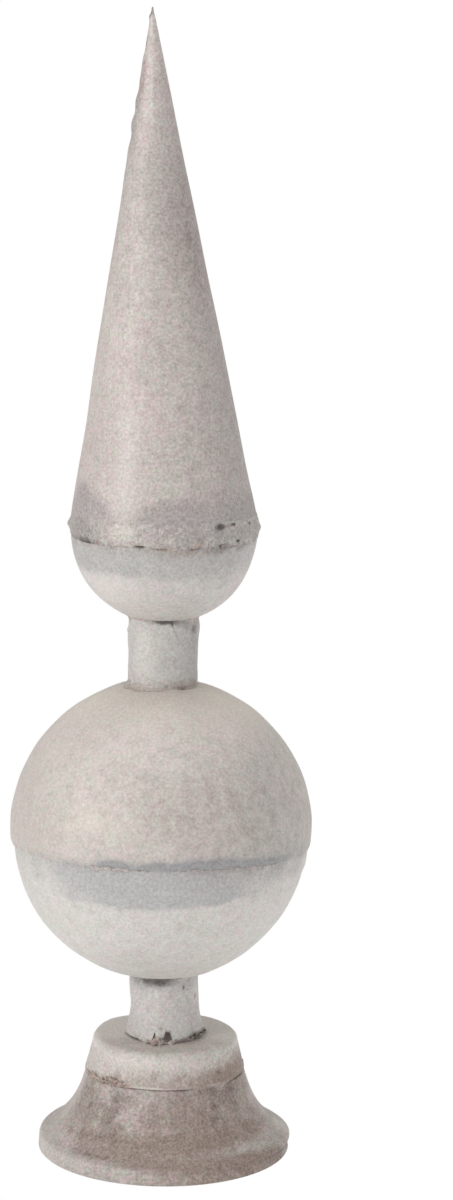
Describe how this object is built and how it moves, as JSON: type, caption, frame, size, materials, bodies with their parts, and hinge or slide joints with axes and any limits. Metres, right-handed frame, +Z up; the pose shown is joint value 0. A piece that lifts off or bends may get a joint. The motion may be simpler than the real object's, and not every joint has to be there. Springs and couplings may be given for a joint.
{
  "type": "roof finial",
  "caption": "Soldered sheet zinc roof finial: a slender cone on a bowl, a short neck, a large two-part ball, a second neck and a flared bell base that sits over the roof's peak.",
  "frame": {"origin": "on the floor, on the upright axis of the ball and the bowl; the base stands 3.85 mm to the right of it", "axes": "+Z up along the finial, +Y to the back, +X to the right as the picture shows it"},
  "size_m": [0.1983, 0.1984, 0.7522],
  "materials": {
    "cone_zinc": "weathered zinc sheet, dull warm grey patina with fine mottling",
    "joint_solder": "dull lead-grey solder, lumpy, with dark pits",
    "bowl_zinc": "weathered zinc, cooler grey stain under the joint, paler below",
    "neck_zinc": "weathered zinc tube, dull grey, darker against its joints",
    "ball_zinc": "weathered zinc, chalky cream grey, blue-grey stain along the seam",
    "cap_zinc": "weathered zinc, chalky grey with brown dirt",
    "skirt_zinc": "weathered zinc stained reddish brown, paler on its lip"
  },
  "bodies": {
    "root": {"spire_cone": "cone_zinc", "cone_joint_solder": "joint_solder", "bowl": "bowl_zinc", "upper_neck": "neck_zinc", "ball_upper_half": "ball_zinc", "ball_lower_half": "ball_zinc", "lower_neck": "neck_zinc", "base_cap": "cap_zinc", "base_skirt": "skirt_zinc"}
  },
  "joints": []
}
